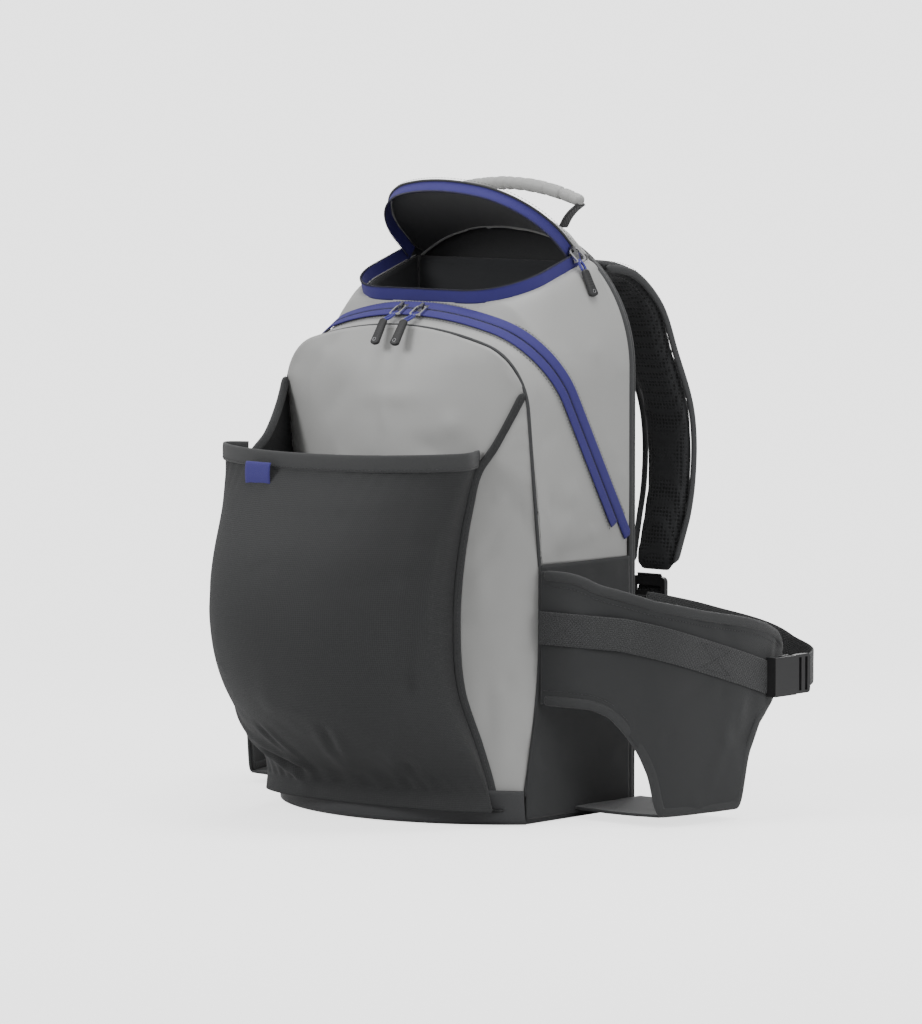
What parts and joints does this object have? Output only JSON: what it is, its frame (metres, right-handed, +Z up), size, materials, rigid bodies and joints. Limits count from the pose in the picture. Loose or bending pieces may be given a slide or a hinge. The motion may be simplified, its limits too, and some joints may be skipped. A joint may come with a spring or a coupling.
{
  "type": "ski boot backpack",
  "caption": "Backpack with open side slings for ski boots, a stretch helmet pocket, a goggle pocket with a raised lid and a hinged zipped front.",
  "frame": {"origin": "centre of the flat base, on its lower face", "axes": "+Z up, the opening front and the helmet pocket face -Y, +X is the bag's right-hand side seen from the front"},
  "size_m": [0.458, 0.3959, 0.4815],
  "materials": {
    "shell_fabric": "light grey coated polyester with a soft sheen",
    "black_fabric": "matt black woven polyester",
    "mesh_pad": "black spacer mesh over foam",
    "stretch_mesh": "fine black stretch mesh",
    "elastic_binding": "charcoal elastic binding",
    "piping": "dark grey covered piping",
    "blue_tape": "blue-violet zip tape with a woven rib",
    "pull_cord": "blue braided cord",
    "slider_metal": "dark nickel plate",
    "grip_rubber": "matt black moulded rubber",
    "webbing": "black woven webbing",
    "buckle_plastic": "black acetal",
    "base_shell": "heavy charcoal coated fabric over a board",
    "board": "polyethylene frame sheet",
    "lining": "black brushed lining"
  },
  "bodies": {
    "root": {"base_panel": "base_shell", "base_wrap": "base_shell", "front_lower": "shell_fabric", "side_panel_left": "black_fabric", "side_panel_right": "black_fabric", "back_panel": "black_fabric", "frame_sheet": "board", "back_pads": "mesh_pad", "door_fold": "shell_fabric", "main_zip_tape_rear": "blue_tape", "rear_gusset": "shell_fabric", "goggle_zip_tape_front": "blue_tape", "goggle_lining": "lining", "pocket_mesh": "stretch_mesh", "pocket_hem": "elastic_binding", "pocket_binding_left": "elastic_binding", "pocket_binding_right": "elastic_binding", "pocket_tab": "blue_tape", "boot_sleeve_left": "black_fabric", "boot_sleeve_right": "black_fabric", "sleeve_webbing_left": "webbing", "sleeve_webbing_right": "webbing", "buckle_female_left": "buckle_plastic", "buckle_female_right": "buckle_plastic", "anchor_webbing_left": "webbing", "anchor_webbing_right": "webbing", "lower_webbing_left": "webbing", "lower_webbing_right": "webbing", "handle_anchors": "webbing"},
    "front": {"door_panel": "shell_fabric", "door_piping": "piping", "door_gusset": "shell_fabric", "main_zip_tape_front": "blue_tape"},
    "slider_left": {"slider_left": "slider_metal"},
    "slider_right": {"slider_right": "slider_metal"},
    "slider_goggle": {"slider_goggle": "slider_metal"},
    "pull_left": {"pull_ring_left": "slider_metal", "pull_cord_left": "pull_cord", "pull_grip_left": "grip_rubber"},
    "pull_right": {"pull_ring_right": "slider_metal", "pull_cord_right": "pull_cord", "pull_grip_right": "grip_rubber"},
    "pull_goggle": {"pull_ring_goggle": "slider_metal", "pull_cord_goggle": "pull_cord", "pull_grip_goggle": "grip_rubber"},
    "goggle_flap": {"goggle_flap": "shell_fabric", "goggle_zip_tape_flap": "blue_tape"},
    "handle": {"handle_grip": "shell_fabric", "handle_webbing": "webbing"},
    "strap_left": {"shoulder_strap_left": "black_fabric", "ladder_lock_left": "buckle_plastic"},
    "strap_right": {"shoulder_strap_right": "black_fabric", "ladder_lock_right": "buckle_plastic"},
    "buckle_left": {"buckle_male_left": "buckle_plastic"},
    "buckle_right": {"buckle_male_right": "buckle_plastic"}
  },
  "joints": [
    {"name": "front_open", "type": "hinge", "parent": "root", "child": "front", "pos_m": [0, 0.045, 0.2], "axis": [1, 0, 0], "range_deg": [0, 30], "deforming": ["door_fold", "pocket_binding_left", "pocket_binding_right", "pocket_mesh", "pocket_hem", "pocket_tab"]},
    {"name": "slider_left_travel", "type": "hinge", "parent": "front", "child": "slider_left", "pos_m": [0, 0.05921, 0.17587], "axis": [0, -0.8616, -0.5075], "range_deg": [0, 10]},
    {"name": "pull_left_swing", "type": "hinge", "parent": "slider_left", "child": "pull_left", "pos_m": [-0.01013, -0.06406, 0.38516], "axis": [-0.9991, 0.0211, -0.0359], "range_deg": [0, 110]},
    {"name": "slider_right_travel", "type": "hinge", "parent": "front", "child": "slider_right", "pos_m": [0, 0.05921, 0.17587], "axis": [0, 0.8616, 0.5075], "range_deg": [0, 10]},
    {"name": "pull_right_swing", "type": "hinge", "parent": "slider_right", "child": "pull_right", "pos_m": [0.01013, -0.06406, 0.38516], "axis": [-0.9991, -0.0211, 0.0359], "range_deg": [0, 110]},
    {"name": "goggle_flap_close", "type": "hinge", "parent": "root", "child": "goggle_flap", "pos_m": [0, 0.038, 0.418], "axis": [1, 0, 0], "range_deg": [0, 44]},
    {"name": "slider_goggle_travel", "type": "slide", "parent": "root", "child": "slider_goggle", "axis": [0, -0.9496, -0.3134], "range_m": [0, 0.026]},
    {"name": "pull_goggle_swing", "type": "hinge", "parent": "slider_goggle", "child": "pull_goggle", "pos_m": [0.0854, 0.02364, 0.42777], "axis": [0, -0.9496, -0.3134], "range_deg": [0, 100]},
    {"name": "handle_swing", "type": "hinge", "parent": "root", "child": "handle", "pos_m": [0, 0.049, 0.443], "axis": [-1, 0, 0], "range_deg": [-20, 80]},
    {"name": "strap_left_swing", "type": "hinge", "parent": "root", "child": "strap_left", "pos_m": [0, 0.055, 0.414], "axis": [1, 0, 0], "range_deg": [-10, 20], "deforming": ["lower_webbing_left"]},
    {"name": "strap_right_swing", "type": "hinge", "parent": "root", "child": "strap_right", "pos_m": [0, 0.055, 0.414], "axis": [1, 0, 0], "range_deg": [-10, 20], "deforming": ["lower_webbing_right"]},
    {"name": "buckle_left_release", "type": "slide", "parent": "root", "child": "buckle_left", "axis": [0, 1, 0], "range_m": [0, 0.032], "deforming": ["anchor_webbing_left"]},
    {"name": "buckle_right_release", "type": "slide", "parent": "root", "child": "buckle_right", "axis": [0, 1, 0], "range_m": [0, 0.032], "deforming": ["anchor_webbing_right"]}
  ],
  "couplings": [
    {"joint": "slider_left_travel", "follows": "front_open", "ratio": 0.33333},
    {"joint": "slider_right_travel", "follows": "front_open", "ratio": 0.33333}
  ]
}
